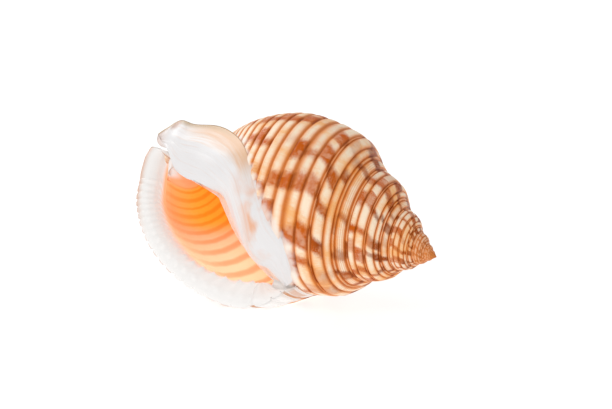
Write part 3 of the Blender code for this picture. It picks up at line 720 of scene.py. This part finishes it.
rim[1:-1, 1:-1] = False
lower_grid[rim] = upper_grid[rim]
top_faces, top_row, top_column = cells(upper_grid, np.arange(WIDTH_POINTS - 1))
under_faces, under_row, under_column = cells(lower_grid, np.arange(WIDTH_POINTS - 1))
used = np.unique(np.concatenate([top_faces.ravel(), under_faces.ravel()]))
renumber = np.zeros(2 * count, int)
renumber[used] = np.arange(len(used))
shield_points = np.concatenate([upper.reshape(-1, 3), lower.reshape(-1, 3)])[used]
top_values = np.stack([along[top_row], across[top_column]], -1)
under_values = np.stack([along[under_row], across[under_column]], -1)[:, ::-1]
sheet_faces = [renumber[top_faces], renumber[under_faces][:, ::-1]]
shield = mesh_piece("shield", lay_down(shield_points), sheet_faces, {"sheet": [top_values, under_values]})

# The enamel thins out over the whorl: each point of the coil gets its way to the shield in mm
coil_spots = np.empty(3 * len(coil.data.vertices), np.float32)
coil.data.vertices.foreach_get("co", coil_spots)
coil_spots = coil_spots.reshape(-1, 3)
enamel = (lay_down(upper[::4, ::5].reshape(-1, 3)) * MM).astype(np.float32)
nearest = np.full(len(coil_spots), np.inf, np.float32)
for spot in enamel:
    nearest = np.minimum(nearest, ((coil_spots - spot) ** 2).sum(axis=1))
glaze = coil.data.attributes.new("glaze", "FLOAT", "POINT")
glaze.data.foreach_set("value", np.sqrt(nearest) / MM)

material, tree, surface = new_material("shell-shield")
along, across = split(tree, "sheet")
here = put(tree, "ShaderNodeTexCoord").outputs["Object"]
grain_at = join(tree, calc(tree, "MULTIPLY", along, 7.0), calc(tree, "MULTIPLY", across, 22.0))
long_grain = noise(tree, grain_at, 1.0, 4.0)
soft = noise(tree, here, 120.0, 3.0)
SHIELD_WHITE, SHIELD_PINK = tint(0.93, 0.92, 0.92), tint(0.92, 0.80, 0.74)
colour = blend(tree, rise(tree, long_grain, 0.5, 0.8, 0.0, 0.4), SHIELD_WHITE, SHIELD_PINK)
# Thin enamel lets the amber of the whorl show along the free edge, and the tip is pinkish
from_free = calc(tree, "MULTIPLY_ADD", calc(tree, "SUBTRACT", long_grain, 0.5), 0.35, across)
band = calc(tree, "MULTIPLY", rise(tree, along, 0.40, 0.52), rise(tree, along, 0.84, 0.66))
amber = calc(tree, "MULTIPLY", rise(tree, from_free, 0.60, 0.92), band)
colour = blend(tree, calc(tree, "MULTIPLY", amber, 0.9), colour, tint(0.88, 0.68, 0.50))
low = calc(tree, "MULTIPLY", rise(tree, along, 0.52, 0.36), rise(tree, along, 0.16, 0.26))
patch = calc(tree, "MULTIPLY", rise(tree, from_free, 0.25, 0.85), rise(tree, soft, 0.38, 0.60))
patch = calc(tree, "MULTIPLY", calc(tree, "MULTIPLY", low, patch), 0.85)
colour = blend(tree, patch, colour, tint(0.94, 0.62, 0.38))
colour = blend(tree, rise(tree, along, 0.86, 0.99, 0.0, 0.5), colour, tint(0.90, 0.74, 0.66))
# Painted shade: a duskier strip along the free edge where the plate stands off the whorl
ridge = calc(tree, "MULTIPLY", rise(tree, across, 0.86, 0.985), rise(tree, along, 0.55, 0.7))
colour = blend(tree, calc(tree, "MULTIPLY", ridge, 0.75), colour, tint(0.74, 0.60, 0.40))
# A faint brown stain near the tip, by the free edge
way_along = calc(tree, "MULTIPLY_ADD", along, 26.0, -0.86 * 26)
apart = join(tree, way_along, calc(tree, "MULTIPLY_ADD", across, 6.0, -5.4))
stain = put(tree, "ShaderNodeVectorMath", {0: apart}, operation="LENGTH").outputs["Value"]
stain = calc(tree, "MULTIPLY_ADD", soft, 1.2, calc(tree, "SUBTRACT", stain, 0.6))
stain = rise(tree, stain, 1.1, 0.3, 0.0, 0.75)
colour = blend(tree, stain, colour, tint(0.66, 0.44, 0.28))
tree.links.new(colour, surface.inputs["Base Color"])
surface.inputs["Roughness"].default_value = 0.30
surface.inputs["Specular IOR Level"].default_value = 0.35
surface.inputs["Coat Weight"].default_value = 0.10
surface.inputs["Coat Roughness"].default_value = 0.10
bump = put(tree, "ShaderNodeBump", {"Strength": 0.4, "Distance": 0.0002, "Height": long_grain})
tree.links.new(bump.outputs[0], surface.inputs["Normal"])
shield.data.materials.append(material)
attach(shield, "root")
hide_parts("shell")

# Floor, light and camera
# A plain white table in a bright, soft studio.

floor_mesh = bpy.data.meshes.new("floor")
FLOOR_REACH, FLOOR_DROP = 2.0, 0.0001
floor_signs = ((-1, -1), (1, -1), (1, 1), (-1, 1))
floor_corners = [(x * FLOOR_REACH, y * FLOOR_REACH, -FLOOR_DROP) for x, y in floor_signs]
floor_mesh.from_pydata(floor_corners, [], [(0, 1, 2, 3)])
floor = bpy.data.objects.new("floor", floor_mesh)
bpy.context.scene.collection.objects.link(floor)
material, tree, surface = new_material("floor-white")
surface.inputs["Base Color"].default_value = (0.3, 0.3, 0.3, 1)
surface.inputs["Roughness"].default_value = 0.4
surface.inputs["Emission Color"].default_value = (1, 1, 1, 1)
surface.inputs["Emission Strength"].default_value = 0.80
floor.data.materials.append(material)

world = bpy.data.worlds.new("studio")
bpy.context.scene.world = world
world.use_nodes = True
sky = world.node_tree
to_camera = put(sky, "ShaderNodeLightPath").outputs["Is Camera Ray"]
sky.links.new(calc(sky, "MULTIPLY_ADD", to_camera, 0.5, 0.5), sky.nodes["Background"].inputs[1])
sky.nodes["Background"].inputs[0].default_value = (1, 1, 1, 1)


def look_along(toward):
    """Rows of the rotation whose -Z is toward and whose X is level."""
    back = -toward / np.linalg.norm(toward)
    right = np.cross((0, 0, 1), back)
    right /= np.linalg.norm(right)
    return np.stack([right, np.cross(back, right), back], -1)


def area_light(name, spot, aim, size, power):
    """A square soft box at a spot in metres, facing its aim."""
    lamp = bpy.data.lights.new(name, "AREA")
    lamp.size, lamp.energy = size, power
    light = bpy.data.objects.new(name, lamp)
    toward = np.array(aim, float) - spot
    light.matrix_world = Matrix.Translation(spot) @ Matrix(
        [list(r) + [0] for r in look_along(toward)] + [[0, 0, 0, 1]])
    bpy.context.scene.collection.objects.link(light)


area_light("key", (-0.25, -0.35, 0.45), (0, 0, 0.02), 0.25, 1.1)
area_light("back", (-0.3, 0.35, 0.3), (0, 0, 0.02), 0.3, 0.9)

LENS, SENSOR_WIDTH, VIEW_WIDTH, ELEVATION = 300.0, 36.0, 0.1377, 15.0
distance = VIEW_WIDTH * LENS / SENSOR_WIDTH
aim = np.array([0.0048, 0.0, 0.0218])
spot = aim + distance * np.array([0, -np.cos(radians(ELEVATION)), np.sin(radians(ELEVATION))])
camera_data = bpy.data.cameras.new("camera")
camera_data.lens = LENS
camera = bpy.data.objects.new("camera", camera_data)
camera.matrix_world = Matrix.Translation(spot) @ Matrix(
    [list(r) + [0] for r in look_along(aim - spot)] + [[0, 0, 0, 1]])
bpy.context.scene.collection.objects.link(camera)
bpy.context.scene.camera = camera
bpy.context.scene.view_settings.view_transform = "Standard"
